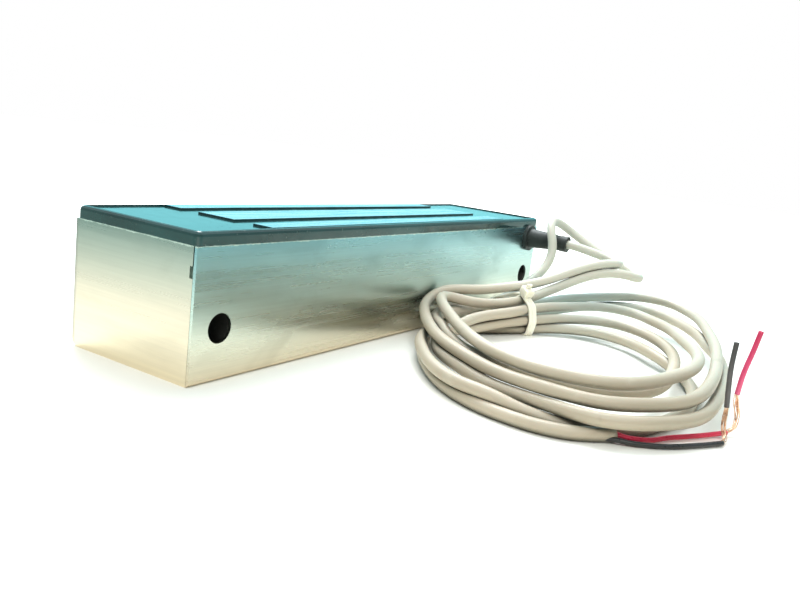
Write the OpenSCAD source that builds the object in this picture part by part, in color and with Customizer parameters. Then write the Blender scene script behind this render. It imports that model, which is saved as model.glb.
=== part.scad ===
// Electromagnetic door lock: the magnet unit with its supply cable.
// The unit lies on its base, pole faces up. Millimetres, +Z up.
// Origin: centre of the base's footprint. +X runs along the unit, -Y is the
// side with the cable outlet.

/* [Housing] */
// Length of the magnet unit
body_l = 230; // [224:1:240]
// Width of the magnet unit
body_w = 52; // [52:0.5:56]
// Height of the sheet steel walls
steel_h = 40; // [39:0.5:42]
// Thickness of the stainless sheet
sheet_t = 1.0; // [0.8:0.1:1.2]
// Outer bend radius along the bottom edges
bend_r = 1.6; // [1.4:0.1:2]
// Outer bend radius along the rear bottom edge
rear_bend_r = 2.8; // [2:0.1:3]
// Height of the end plates' corner notch above the base
notch_z = 31; // [29:0.5:32]
// Height of the corner notch
notch_h = 3.4; // [2:0.2:4]

/* [Potting] */
// Height of the resin edge above the steel walls
slab_h = 4; // [3:0.5:5]
// How far the resin pool has shrunk below its edge
pool_drop = 0.5; // [0.3:0.1:0.8]
// Corner radius of the resin edge
slab_r = 2; // [1:0.5:3]
// Width of the raised resin edge
rim_w = 1.6; // [1.4:0.1:1.8]
// Rounding along the top of the resin edge
edge_r = 1.4; // [0.8:0.1:1.4]

/* [Magnet core] */
// Length of the lamination stack
core_l = 161; // [150:1:161]
// Shift of the stack away from the wiring end
core_shift = 3; // [2:0.5:4]
// Width of the outer poles (the middle pole is twice as wide)
leg_w = 8; // [7.6:0.1:8]
// Height of the laminations
core_h = 37.6; // [36:0.1:38]
// How far the poles stand above the resin pool
pole_proud = 0.6; // [0.4:0.1:1.2]

/* [Winding] */
// Wall of the moulded bobbin
bobbin_t = 1; // [0.8:0.1:1.2]
// Build of the copper winding
winding_t = 6; // [5:0.1:6]

/* [Mounting] */
// Diameter of the through holes for the mounting bolts
hole_d = 9; // [8.4:0.1:9.4]
// Distance between the two mounting holes
hole_pitch = 209; // [204:1:210]
// Height of the mounting holes above the base
hole_z = 16; // [15:0.5:18]
// Outer diameter of the spacer sleeves
sleeve_d = 12; // [11.5:0.5:13]

/* [Cable outlet] */
// Height of the cable outlet above the base
outlet_z = 34.5; // [34:0.5:35]
// Diameter of the outlet hole in the steel
outlet_d = 10; // [9.6:0.2:10.4]
// Diameter of the strain relief's flange
flange_d = 12.7; // [12:0.1:13]
// Length of the strain relief outside the housing
boot_l = 21.5; // [18:0.5:24]
// Diameter of the round supply cable
cable_d = 4.2; // [4:0.1:4.2]
// Diameter of one insulated conductor
wire_d = 1.5; // [1.4:0.1:1.6]

/* [Cable coil] */
// Height of the stacked turns
coil_h = 17; // [15:0.5:17.5]
// Width of the cable tie's band
tie_w = 2.6; // [2.4:0.1:3.6]

/* [Hidden] */
$fn = 48;

hl = body_l / 2;
hw = body_w / 2;
top_z = steel_h + slab_h;          // edge of the resin
pool_z = top_z - pool_drop;        // resin pool between the poles
pole_z = pool_z + pole_proud;      // pole faces
core_z = pole_z - core_h;          // underside of the laminations
yoke_t = leg_w;
win_z = core_z + yoke_t;           // floor of the windows
x0 = -core_l / 2 - core_shift;     // left end of the stack
x1 = core_l / 2 - core_shift;      // right end of the stack
in_l = hl - sheet_t;               // inside half length
in_w = hw - sheet_t;               // inside half width
fl_z0 = win_z + 0.2;               // bobbin flanges
fl_z1 = pool_z - 1.2;
board_x = x1 + bobbin_t + winding_t + 3.2;
outlet_x = hole_pitch / 2 + 0.5;
mouth_y = -hw - boot_l;

// Middle of the cable along the stretch between the outlet and the coil
lead_route = [
    [105, -26, 34.5], [105, -36, 34.5], [105, -47, 34.5], [105.5, -56, 33.5],
    [108, -65, 32], [109, -73, 30.5], [104.5, -80.5, 30], [96, -82, 31],
    [89.5, -77.5, 31.5], [84, -70, 30], [78, -63.5, 26.5], [70, -57.5, 22.5],
    [62, -53, 19.5], [52, -49, 17.5], [40, -41, 15.8]
];
// Middle of the cable along the loop that stands up around the outlet
loop_route = [
    [52, -59, 13.5], [61, -62, 18], [70.5, -66.5, 22.5], [80, -72.5, 25.5],
    [89, -80, 26], [97, -85.5, 25], [105.5, -86, 24.5], [112.5, -80.5, 25.5],
    [116, -71, 28.5], [116.5, -61, 32], [116.5, -51.5, 36], [115.5, -43.5, 40.5],
    [110, -38.5, 44.5], [103, -38, 44.5], [98, -40.5, 40], [96.5, -43.5, 33.5],
    [93.5, -44, 26], [87, -41, 19], [77, -37, 14.5], [64, -34.5, 13]
];
// Outside of the loose coil, seen from above
coil_outline = [
    [-44, -62], [-56, -86], [-59, -106], [-52, -122], [-34, -131], [-8, -135],
    [30, -136], [66, -129], [92, -115], [105, -95], [103, -74], [86, -54],
    [55, -38], [20, -28.5], [-12, -33], [-32, -45]
];
// Open middle of the coil, seen from above
coil_opening = [
    [-24, -76], [-33, -92], [-34, -104], [-24, -111], [-4, -115], [28, -116],
    [58, -110], [78, -101], [84, -90], [80, -80], [66, -69], [45, -58],
    [20, -50], [-4, -54], [-16, -63]
];
// The tie's place on the coil, and the way it faces
tie_mid = [50, -47.5];
tie_turn = -27;

// ---------- helpers ----------
function unit(v) = v / norm(v);
function tangent(p, i) =
    i == 0 ? unit(p[1] - p[0]) :
    i == len(p) - 1 ? unit(p[i] - p[i - 1]) :
    unit(unit(p[i + 1] - p[i]) + unit(p[i] - p[i - 1]));
function flatten_on(u, t) = unit(u - (u * t) * t);
// a smooth curve through the route's points, n steps from each to the next
function smooth(p, n) = concat(
    [for (i = [0 : len(p) - 2]) for (k = [0 : n - 1])
        let (s = k / n,
             a = i == 0 ? 2 * p[0] - p[1] : p[i - 1],
             b = p[i], c = p[i + 1],
             d = i == len(p) - 2 ? 2 * c - b : p[i + 2])
        0.5 * ((2 * b) + (c - a) * s + (2 * a - 5 * b + 4 * c - d) * s * s
               + (3 * b - a - 3 * c + d) * s * s * s)],
    [p[len(p) - 1]]);

// round tube swept along a list of points
module tube(p, d, sides = 8) {
    n = len(p);
    t = [for (i = [0 : n - 1]) tangent(p, i)];
    seed = abs(t[0][2]) < 0.9 ? [0, 0, 1] : [1, 0, 0];
    u = [for (i = 0, w = flatten_on(seed, t[0]); i < n;
              i = i + 1, w = i < n ? flatten_on(w, t[i]) : w) w];
    pts = [for (i = [0 : n - 1]) for (k = [0 : sides - 1])
        let (v = cross(t[i], u[i]), a = 360 * k / sides)
        p[i] + (d / 2) * (cos(a) * u[i] + sin(a) * v)];
    faces = concat(
        [[for (k = [sides - 1 : -1 : 0]) k]],
        [for (i = [0 : n - 2]) for (k = [0 : sides - 1])
            let (a = i * sides + k, b = i * sides + (k + 1) % sides)
            [a, b, b + sides, a + sides]],
        [[for (k = [0 : sides - 1]) (n - 1) * sides + k]]);
    polyhedron(points = pts, faces = [for (f = faces) [for (k = [len(f) - 1 : -1 : 0]) f[k]]]);
}

// rectangle with true arcs at its corners
module rounded_rect(lx, ly, r) {
    square([lx - 2 * r, ly], center = true);
    square([lx, ly - 2 * r], center = true);
    for (sx = [-1, 1]) for (sy = [-1, 1])
        translate([sx * (lx / 2 - r), sy * (ly / 2 - r)]) circle(r);
}

// profile in the YZ plane, run along X from a to b
module along_x(a, b) {
    translate([a, 0, 0]) rotate([90, 0, 90]) linear_extrude(b - a) children();
}

// rod between two points that lie along one axis
module rod_x(a, b, y, z, d) { translate([a, y, z]) rotate([0, 90, 0]) cylinder(d = d, h = b - a); }
module rod_y(a, b, x, z, d) { translate([x, b, z]) rotate([90, 0, 0]) cylinder(d = d, h = b - a); }
module rod_z(a, b, x, y, d) { translate([x, y, a]) cylinder(d = d, h = b - a); }

module bolt_holes(d, y0, y1) {
    for (s = [-1, 1]) rod_y(y0, y1, s * hole_pitch / 2, hole_z, d);
}

// closed smooth outline through hand-set corners, n steps from each to the next
function closed_smooth(p, n) =
    [for (i = [0 : len(p) - 1]) for (k = [0 : n - 1])
        let (m = len(p), s = k / n,
             a = p[(i + m - 1) % m], b = p[i], c = p[(i + 1) % m], d = p[(i + 2) % m])
        0.5 * ((2 * b) + (c - a) * s + (2 * a - 5 * b + 4 * c - d) * s * s
               + (3 * b - a - 3 * c + d) * s * s * s)];
// ---------- housing ----------
// outline across the unit, g inside the outer faces: tight bend in front, wide bend behind
module section_outline(g, top) {
    fr = bend_r - g;
    rr = rear_bend_r - g;
    translate([-hw + g, g + fr]) square([hw - g, top - g - fr]);
    translate([-hw + g + fr, g]) square([hw - g - fr, top - g]);
    translate([-hw + g + fr, g + fr]) circle(fr);
    translate([0, g + rr]) square([hw - g, top - g - rr]);
    translate([0, g]) square([hw - g - rr, top - g]);
    translate([hw - g - rr, g + rr]) circle(rr);
}

module channel_profile() {
    difference() {
        section_outline(0, steel_h);
        section_outline(sheet_t, steel_h + 2);
    }
}

module housing_channel() {
    color([0.72, 0.76, 0.74])
    difference() {
        along_x(-hl, hl) channel_profile();
        // the end plates stand in front of the floor and the rear wall
        for (s = [-1, 1])
            translate([s * (hl - sheet_t / 2), (hw + 1 - in_w) / 2, steel_h / 2])
                cube([sheet_t + 0.001, hw + 1 + in_w, steel_h + 2], center = true);
        bolt_holes(hole_d, -hw - 1, hw + 1);
        rod_y(-hw - 1, -in_w + 1, outlet_x, outlet_z, outlet_d);
    }
}

module end_profile() {
    // behind the front wall, notched at the upper front corner
    difference() {
        section_outline(0, steel_h);
        translate([-hw - 1, -1]) square([sheet_t + 1.1, steel_h + 2]);
        translate([-in_w, notch_z + notch_h / 2]) square([2.8, notch_h], center = true);
        translate([-in_w, (notch_z + steel_h) / 2 + 1]) square([0.8, steel_h - notch_z + 2], center = true);
    }
}

module end_plate() {
    along_x(in_l, in_l + sheet_t) end_profile();
    // foot welded to the floor
    translate([in_l - 7, -in_w + 4, sheet_t]) cube([7.2, 2 * in_w - 8, sheet_t]);
}

module end_plate_right() { color([0.74, 0.77, 0.74]) end_plate(); }
module end_plate_left() { color([0.74, 0.77, 0.74]) mirror([1, 0, 0]) end_plate(); }

// ---------- magnet ----------
module e_profile() {
    w = 3 * leg_w;
    translate([-w, core_z]) square([2 * w, yoke_t]);
    translate([-w, core_z]) square([leg_w, core_h]);
    translate([w - leg_w, core_z]) square([leg_w, core_h]);
    translate([-leg_w, core_z]) square([2 * leg_w, core_h]);
}

module lamination_stack() {
    color([0.62, 0.68, 0.70])
    difference() {
        along_x(x0, x1) e_profile();
        for (s = [-1, 1]) rod_x(x0 - 1, x1 + 1, s * 2 * leg_w, core_z + yoke_t / 2, 4);
    }
}

module core_rivets() {
    color([0.55, 0.55, 0.56])
    for (s = [-1, 1]) {
        rod_x(x0, x1, s * 2 * leg_w, core_z + yoke_t / 2, 4);
        rod_x(x0 - 1.5, x0, s * 2 * leg_w, core_z + yoke_t / 2, 7);
        rod_x(x1, x1 + 1.5, s * 2 * leg_w, core_z + yoke_t / 2, 7);
    }
}

module core_spacers() {
    color([0.55, 0.42, 0.30])
    for (x = [x0 + 24, x1 - 24])
        translate([x - 8, -20, sheet_t]) cube([16, 40, core_z - sheet_t]);
}

module bobbin_tube(g) {
    translate([-core_shift, 0]) rounded_rect(core_l + 2 * bobbin_t + 2 * g, 2 * leg_w + 2 * bobbin_t + 2 * g, 1 + g);
}

module bobbin() {
    color([0.93, 0.92, 0.86])
    difference() {
        union() {
            translate([0, 0, fl_z0]) linear_extrude(fl_z1 - fl_z0) bobbin_tube(0);
            for (z = [fl_z0, fl_z1 - 1.2])
                translate([0, 0, z]) linear_extrude(1.2) bobbin_tube(winding_t + 0.8);
        }
        translate([x0, -leg_w, fl_z0 - 1]) cube([core_l, 2 * leg_w, core_h]);
    }
}

module winding_ring(g0, g1) {
    translate([0, 0, fl_z0 + 1.2]) linear_extrude(fl_z1 - fl_z0 - 2.4)
        difference() { bobbin_tube(g1); bobbin_tube(g0); }
}

module coil_winding() { color([0.72, 0.38, 0.18]) winding_ring(0, winding_t); }
module winding_tape() { color([0.90, 0.78, 0.30]) winding_ring(winding_t, winding_t + 0.3); }

module mounting_sleeves() {
    color([0.60, 0.62, 0.62])
    difference() {
        bolt_holes(sleeve_d, -in_w, in_w);
        bolt_holes(hole_d, -hw - 1, hw + 1);
    }
}

// ---------- wiring ----------
pin_y = [-9, -3, 3, 9];
pin_z = 35;

module circuit_board() {
    color([0.10, 0.38, 0.20])
    difference() {
        translate([board_x, -13, 10]) cube([1.6, 26, 28]);
        for (y = pin_y) rod_x(board_x - 1, board_x + 3, y, pin_z, 1);
    }
}

module terminal_pins() {
    color([0.80, 0.76, 0.55])
    for (y = pin_y) rod_x(board_x - 1.2, board_x + 3.6, y, pin_z, 1);
}

module surge_varistor() {
    color([0.15, 0.30, 0.60]) {
        rod_x(board_x + 2.6, board_x + 6, 6, 26, 8);
        for (y = [3.5, 8.5]) rod_x(board_x + 1.6, board_x + 2.6, y, 26, 0.8);
    }
}

module clamp_diode() {
    color([0.12, 0.12, 0.13]) {
        rod_y(-9, -4, board_x + 3.1, 26, 2.8);
        for (y = [-10.2, -4]) rod_y(y, y + 1.2, board_x + 3.1, 26, 0.8);
        for (y = [-9.8, -3.2]) rod_x(board_x + 1.6, board_x + 3.5, y, 26, 0.8);
    }
}

// winding ends, from the bobbin's end to the board's inner pins
module coil_lead(y) {
    rod_x(x1 + bobbin_t + winding_t + 0.3, board_x - 1.2, y, pin_z, 1);
}
module coil_lead_start() { color([0.85, 0.80, 0.30]) coil_lead(pin_y[0]); }
module coil_lead_finish() { color([0.30, 0.55, 0.35]) coil_lead(pin_y[3]); }

// conductors from the cable's inner end to the board's outer pins
jacket_y = -9;
module supply_lead(y, dz) {
    z = outlet_z + dz;
    rod_y(jacket_y, y, outlet_x, z, wire_d);
    translate([outlet_x, y, z]) sphere(d = wire_d);
    rod_x(board_x + 3.6, outlet_x, y, z, wire_d);
}
module supply_lead_red() { color([0.80, 0.10, 0.20]) supply_lead(pin_y[2], 0.9); }
module supply_lead_black() { color([0.08, 0.08, 0.09]) supply_lead(pin_y[1], -0.9); }

module cable_inner_end() {
    color([0.80, 0.79, 0.72]) rod_y(-hw, jacket_y, outlet_x, outlet_z, cable_d);
}

module inner_cable_tie() {
    color([0.92, 0.92, 0.88])
    difference() {
        union() {
            rod_y(-19.5, -16.5, outlet_x, outlet_z, cable_d + 2.4);
            translate([outlet_x - 2.4, -20, outlet_z - 6.5]) cube([4.8, 4, 4]);
        }
        rod_y(-30, -10, outlet_x, outlet_z, cable_d);
    }
}

module strain_relief_boot() {
    color([0.08, 0.09, 0.09])
    difference() {
        union() {
            rod_y(-in_w, -in_w + 1.6, outlet_x, outlet_z, flange_d);
            rod_y(-hw, -in_w, outlet_x, outlet_z, outlet_d);
            rod_y(-hw - 1.8, -hw, outlet_x, outlet_z, flange_d);
            translate([outlet_x, -hw - 1.8, outlet_z]) rotate([90, 0, 0])
                cylinder(d1 = 9.6, d2 = 7.2, h = boot_l - 5.3);
            rod_y(mouth_y, mouth_y + 3.5, outlet_x, outlet_z, 7.7);
        }
        rod_y(mouth_y - 1, 0, outlet_x, outlet_z, cable_d);
    }
}

// ---------- resin ----------
// edge layer k of the resin: it steps in and up round a quarter circle
module resin_layer(k) {
    inset = edge_r * (1 - cos(30 * k));
    translate([0, 0, top_z - edge_r + edge_r * sin(30 * k) - 0.02])
        linear_extrude(0.02) rounded_rect(body_l - 2 * inset, body_w - 2 * inset, slab_r - 0.6 * inset);
}
module resin_edge() {
    translate([0, 0, steel_h]) linear_extrude(slab_h - edge_r) rounded_rect(body_l, body_w, slab_r);
    for (k = [0 : 2]) hull() { resin_layer(k); resin_layer(k + 1); }
}

module potting_resin() {
    color([0.16, 0.30, 0.33])
    difference() {
        union() {
            along_x(-in_l, in_l) section_outline(sheet_t, steel_h);
            resin_edge();
        }
        // pool that has shrunk below the edge
        translate([0, 0, pool_z]) linear_extrude(5) rounded_rect(body_l - 2 * rim_w, body_w - 2 * rim_w, slab_r - 1);
        along_x(x0, x1) e_profile();
        core_rivets();
        core_spacers();
        translate([0, 0, fl_z0]) linear_extrude(1.2) bobbin_tube(winding_t + 0.8);
        translate([0, 0, fl_z1 - 1.2]) linear_extrude(1.2) bobbin_tube(winding_t + 0.8);
        translate([0, 0, fl_z0]) linear_extrude(fl_z1 - fl_z0) bobbin_tube(winding_t + 0.3);
        bolt_holes(sleeve_d, -hw - 1, hw + 1);
        translate([board_x, -13, 10]) cube([1.6, 26, 28]);
        terminal_pins();
        surge_varistor();
        clamp_diode();
        coil_lead(pin_y[0]);
        coil_lead(pin_y[3]);
        supply_lead(pin_y[2], 0.9);
        supply_lead(pin_y[1], -0.9);
        rod_y(-in_w - 1, jacket_y, outlet_x, outlet_z, cable_d);
        inner_cable_tie();
        rod_y(-in_w - 1, -in_w + 1.6, outlet_x, outlet_z, flange_d);
        for (s = [-1, 1])
            translate([s * (in_l - 3.5), 0, sheet_t * 1.5]) cube([7, 2 * in_w - 8, sheet_t], center = true);
    }
}

// ---------- cable outside ----------
module cable_lead() { color([0.80, 0.79, 0.72]) tube(smooth(lead_route, 1), cable_d); }
module cable_standing_loop() { color([0.84, 0.83, 0.78]) tube(smooth(loop_route, 1), cable_d); }

module cable_coil() {
    color([0.78, 0.77, 0.70])
    linear_extrude(coil_h)
        difference() {
            polygon(closed_smooth(coil_outline, 3));
            polygon(closed_smooth(coil_opening, 3));
        }
}

module cable_tie() {
    color([0.93, 0.91, 0.84])
    translate([tie_mid[0], tie_mid[1], 0]) rotate(tie_turn) {
        difference() {
            translate([-tie_w / 2, -12.2, 0]) cube([tie_w, 24.4, coil_h + 1.1]);
            translate([-tie_w, -11.1, 1.1]) cube([2 * tie_w, 22.2, coil_h - 1.1]);
        }
        translate([-2.4, 3.5, coil_h + 1.1]) cube([4.8, 5.5, 3.6]);
    }
}

// conductors beyond the cut end of the sheath
red_route = [[-52.5, -124.5, 2.6], [-46, -130.5, 1.6], [-38, -138, 1], [-28, -145.5, 1], [-19, -151, 1.2]];
black_route = [[-53.5, -126.5, 1.4], [-49, -133, 0.9], [-43, -140.5, 0.9], [-36, -147, 0.9], [-29, -152, 1]];
module conductor_red() { color([0.85, 0.10, 0.30]) tube(smooth(red_route, 2), wire_d, 8); }
module conductor_black() { color([0.15, 0.15, 0.15]) tube(smooth(black_route, 2), wire_d, 8); }
module bare_strands() {
    color([0.85, 0.55, 0.35]) {
        tube([[-19, -151, 1.2], [-18, -151.5, 4], [-18, -151.5, 9], [-18.4, -151.6, 13]], 0.9, 8);
        tube([[-29, -152, 1], [-25, -151.5, 2], [-22, -150.5, 5], [-21, -150, 8]], 0.9, 8);
    }
}
module insulation_slug_red() {
    color([0.90, 0.15, 0.35]) tube([[-18.4, -151.6, 13], [-17.8, -152.5, 20], [-17, -154, 27], [-16.4, -154.8, 33]], wire_d, 8);
}
module insulation_slug_black() {
    color([0.25, 0.25, 0.26]) tube([[-21, -150, 8], [-20.8, -149.6, 15], [-20.6, -149.3, 22], [-20.6, -149, 29]], wire_d, 8);
}

housing_channel();
end_plate_left();
end_plate_right();
potting_resin();
lamination_stack();
core_rivets();
core_spacers();
bobbin();
coil_winding();
winding_tape();
mounting_sleeves();
circuit_board();
surge_varistor();
clamp_diode();
terminal_pins();
coil_lead_start();
coil_lead_finish();
supply_lead_red();
supply_lead_black();
strain_relief_boot();
inner_cable_tie();
cable_inner_end();
cable_lead();
cable_standing_loop();
cable_coil();
cable_tie();
conductor_red();
conductor_black();
bare_strands();
insulation_slug_red();
insulation_slug_black();
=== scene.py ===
import math
import bpy
import numpy as np
from mathutils import Matrix, Vector


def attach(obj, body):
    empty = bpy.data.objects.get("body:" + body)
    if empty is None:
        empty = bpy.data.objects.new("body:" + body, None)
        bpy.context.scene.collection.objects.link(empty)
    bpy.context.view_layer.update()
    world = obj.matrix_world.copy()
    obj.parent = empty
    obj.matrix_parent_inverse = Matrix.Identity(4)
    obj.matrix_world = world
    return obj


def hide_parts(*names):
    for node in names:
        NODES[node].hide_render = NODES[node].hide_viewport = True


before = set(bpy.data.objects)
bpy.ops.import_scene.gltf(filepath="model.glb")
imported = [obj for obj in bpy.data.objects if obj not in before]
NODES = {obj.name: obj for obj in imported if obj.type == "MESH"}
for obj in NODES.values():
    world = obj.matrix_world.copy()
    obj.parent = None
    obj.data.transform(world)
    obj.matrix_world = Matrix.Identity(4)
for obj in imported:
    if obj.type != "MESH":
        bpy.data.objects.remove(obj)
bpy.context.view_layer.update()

scene = bpy.context.scene
coll = scene.collection
MM = 0.001

# ------------------------------------------------------------------ camera
cam_data = bpy.data.cameras.new("camera")
cam_data.lens = 35.53
cam_data.sensor_width = 36.0
cam_data.sensor_fit = "HORIZONTAL"
cam_data.clip_start = 0.005
cam = bpy.data.objects.new("camera", cam_data)
coll.objects.link(cam)
yaw, pitch, roll = -1.0196, -0.1991, -0.1234
Rz = Matrix(((math.cos(yaw), -math.sin(yaw), 0), (math.sin(yaw), math.cos(yaw), 0), (0, 0, 1)))
Rx = Matrix(((1, 0, 0), (0, math.cos(pitch), -math.sin(pitch)), (0, math.sin(pitch), math.cos(pitch))))
Ry = Matrix(((math.cos(roll), 0, math.sin(roll)), (0, 1, 0), (-math.sin(roll), 0, math.cos(roll))))
R = Rz @ Rx @ Ry
right, forward, up = R.col[0], R.col[1], R.col[2]
M = Matrix.Identity(4)
for i in range(3):
    M[i][0], M[i][1], M[i][2] = right[i], up[i], -forward[i]
M.translation = Vector((-0.263858, -0.182716, 0.074595))
cam.matrix_world = M
scene.camera = cam
scene.view_settings.view_transform = "Standard"

# ------------------------------------------------------------------ helpers


def new_object(name, verts, faces, smooth=True, uvs=None, attrs=None):
    me = bpy.data.meshes.new(name)
    me.from_pydata([tuple(v) for v in verts], [], faces)
    me.validate()
    if smooth:
        me.polygons.foreach_set("use_smooth", [True] * len(me.polygons))
    for key, values in (attrs or {}).items():
        a = me.attributes.new(key, "FLOAT", "POINT")
        a.data.foreach_set("value", np.asarray(values, np.float32))
    me.update()
    ob = bpy.data.objects.new(name, me)
    coll.objects.link(ob)
    return ob


def catmull(p, n=8):
    p = np.asarray(p, float)
    q = np.vstack([2 * p[0] - p[1], p, 2 * p[-1] - p[-2]])
    a, b, c, d = q[:-3], q[1:-2], q[2:-1], q[3:]
    s = (np.arange(n) / n)[None, :, None]
    a, b, c, d = (x[:, None, :] for x in (a, b, c, d))
    o = 0.5 * ((2 * b) + (c - a) * s + (2 * a - 5 * b + 4 * c - d) * s * s
               + (3 * b - a - 3 * c + d) * s ** 3)
    return np.vstack([o.reshape(-1, 3), p[-1:]])


def respace(p, step=None, n=None):
    L = np.r_[0, np.cumsum(np.linalg.norm(np.diff(p, axis=0), axis=1))]
    n = n or int(round(L[-1] / step)) + 1
    t = np.linspace(0, L[-1], n)
    return np.stack([np.interp(t, L, p[:, k]) for k in range(3)], 1)


def frames_along(p):
    t = np.gradient(p, axis=0)
    t /= np.linalg.norm(t, axis=1)[:, None]
    u = np.zeros_like(p)
    seed = np.array([0, 0, 1.0]) if abs(t[0][2]) < 0.9 else np.array([1.0, 0, 0])
    w = seed
    for i in range(len(p)):
        w = w - t[i] * (w @ t[i])
        w /= np.linalg.norm(w)
        u[i] = w
    return t, u, np.cross(t, u)


def tube(name, p, radius, sides=16, ends="flat", profile=None):
    """A round solid swept along p (millimetres), with an optional radius(i, angle) shape."""
    p = np.asarray(p, float)
    t, u, v = frames_along(p)
    n = len(p)
    L = np.r_[0, np.cumsum(np.linalg.norm(np.diff(p, axis=0), axis=1))]
    rad = np.full(n, radius, float) if np.isscalar(radius) else np.asarray(radius, float)
    ang = np.arange(sides) * 2 * np.pi / sides
    verts, along, round_ = [], [], []
    for i in range(n):
        for k in range(sides):
            r = rad[i] * (1 if profile is None else profile(L[i], ang[k]))
            verts.append(p[i] + r * (math.cos(ang[k]) * u[i] + math.sin(ang[k]) * v[i]))
            along.append(L[i] * MM)
            round_.append(ang[k])
    faces = [(i * sides + k, i * sides + (k + 1) % sides, (i + 1) * sides + (k + 1) % sides, (i + 1) * sides + k)
             for i in range(n - 1) for k in range(sides)]
    for e, i, sgn in (("a", 0, -1), ("b", n - 1, 1)):
        base = i * sides
        # a small rounded edge and a flat cap
        ring = []
        for k in range(sides):
            ring.append(len(verts))
            verts.append(p[i] + sgn * t[i] * rad[i] * 0.12
                         + 0.86 * (np.array(verts[base + k]) - p[i]))
            along.append(L[i] * MM)
            round_.append(ang[k])
        c = len(verts)
        verts.append(p[i] + sgn * t[i] * rad[i] * 0.12)
        along.append(L[i] * MM)
        round_.append(0)
        for k in range(sides):
            k2 = (k + 1) % sides
            if sgn < 0:
                faces.append((base + k2, base + k, ring[k], ring[k2]))
                faces.append((ring[k2], ring[k], c))
            else:
                faces.append((base + k, base + k2, ring[k2], ring[k]))
                faces.append((ring[k], ring[k2], c))
    return new_object(name, np.array(verts) * MM, faces, attrs={"along": along, "round": round_})


# ------------------------------------------------------------------ the cable
# One cable: outlet, hairpin, over the tie, three turns, a half turn back, the
# loop round the outlet, then two and a half turns to the cut end. Millimetres.
LEAD = [[105, -41, 34.5], [105, -50, 34.4], [105.6, -57, 33.3], [107, -64.5, 31.8], [105.6, -71.5, 30.6],
        [100, -76, 30.2], [93.2, -76, 30.8], [87.4, -72, 30.8], [82.4, -67.4, 28.8], [76.4, -62, 26],
        [70, -57.8, 23.2], [62, -53.2, 20.6], [52, -48.5, 18.9], [41, -41, 17.2]]
TURN_1 = [[33.5, -38.5, 16.8], [26, -33, 16.8], [19, -29, 16.2], [13, -28, 14.6], [6, -29, 12.4],
          [-5.5, -35.5, 11.6], [-18.5, -45, 11], [-33.5, -59, 10.4], [-45, -76.5, 10], [-53, -91, 10.2],
          [-55.5, -105, 10.3], [-55.5, -111, 10.4], [-54.5, -122, 10.4], [-47.5, -131, 10.6], [-38.5, -138, 10.8],
          [-30, -141.5, 11], [-13.5, -142.5, 11.4], [14.5, -139.5, 12], [46, -133, 12.6], [71.5, -125, 13],
          [90, -117.5, 14], [104, -109, 14.4], [114.5, -97, 15], [116, -82, 14.4], [108, -66.5, 12],
          [94.5, -53, 9.6]]
TURN_2 = [[74, -48, 8.4], [60, -40, 8.4], [40, -37, 9], [20, -37, 9], [4, -37, 9.6], [-8, -43, 9.6],
          [-20, -53, 9.6], [-33, -67, 9.2], [-40, -80, 9.6], [-43, -94, 9.6], [-43, -106, 9.2],
          [-37, -117, 8.4], [-25, -124, 7.2], [-8, -127, 6.2], [12, -126, 6.4], [39, -120, 7.6],
          [57, -108, 8.4], [69, -94, 8.2], [70.5, -80.5, 8], [60, -66, 7], [46, -58, 6.4],
          [29, -52, 6], [18, -48.5, 5]]
TURN_3 = [[4, -45, 4.8], [-10, -42, 5.6], [-24, -46, 6.2], [-38, -55, 6.4], [-50.5, -66, 6.4],
          [-58.5, -77, 6.3], [-61.5, -87, 5.6], [-61.5, -97, 4.4], [-60, -108, 3], [-56.5, -119, 2.2],
          [-48, -129, 2.1], [-34, -134, 2.1], [-16, -137, 2.1], [4, -136, 2.1], [22, -131, 2.1],
          [36, -122, 3], [42.5, -112.5, 5], [57, -98.5, 4.4], [63, -83.5, 4], [58.5, -68, 3.2]]
BACK = [[47, -58, 2.4], [36, -50, 2.1], [26, -43.5, 2.1], [18, -39, 2.4], [14.5, -33.5, 3.2],
        [20, -29, 4.4], [30, -28.5, 5.2], [45, -30.5, 6.4], [60, -34, 8], [74, -37, 11.6], [86, -41, 18.4]]
LOOP = [[93.5, -44, 26], [96.5, -43.5, 33.6], [98, -40.5, 40], [103, -38, 44.4], [110, -38.5, 44.4],
        [115.5, -43.5, 40.4], [116.5, -51.5, 36], [116.5, -61, 32], [116, -71, 28.4], [112.5, -80, 25.6],
        [105.8, -85, 24.6], [98.5, -83, 26], [92.5, -78, 27.2], [84.4, -70.6, 26], [78, -64.6, 22.8],
        [71.4, -60.2, 19.6], [62.6, -56.4, 16.8], [53, -53.4, 14.4], [44, -51, 13.2]]
TURN_4 = [[35, -48.5, 13], [26, -45, 13], [20, -40, 13.6], [16.5, -35, 14.8], [11.5, -33.5, 15.6],
          [3.5, -37, 15.6], [-5, -43.5, 15], [-16.5, -53.5, 14.4], [-31, -66.5, 14.4], [-41, -77.5, 14.4],
          [-47.5, -87.5, 14.4], [-52, -103, 14.4], [-48.5, -120, 14.4], [-38.5, -128.5, 14.4],
          [-23.5, -133, 14.4], [-8.5, -135.5, 14.4], [9, -134.5, 14.4], [25, -129.5, 14.4],
          [39, -122.5, 14], [57, -113, 13.6], [71.5, -101, 13], [83, -89, 12.4], [82, -75.5, 12],
          [63.5, -64, 11.6], [51, -57.5, 11], [32.5, -54, 10.4], [21.5, -50.5, 10], [10.5, -47.5, 9]]
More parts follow.
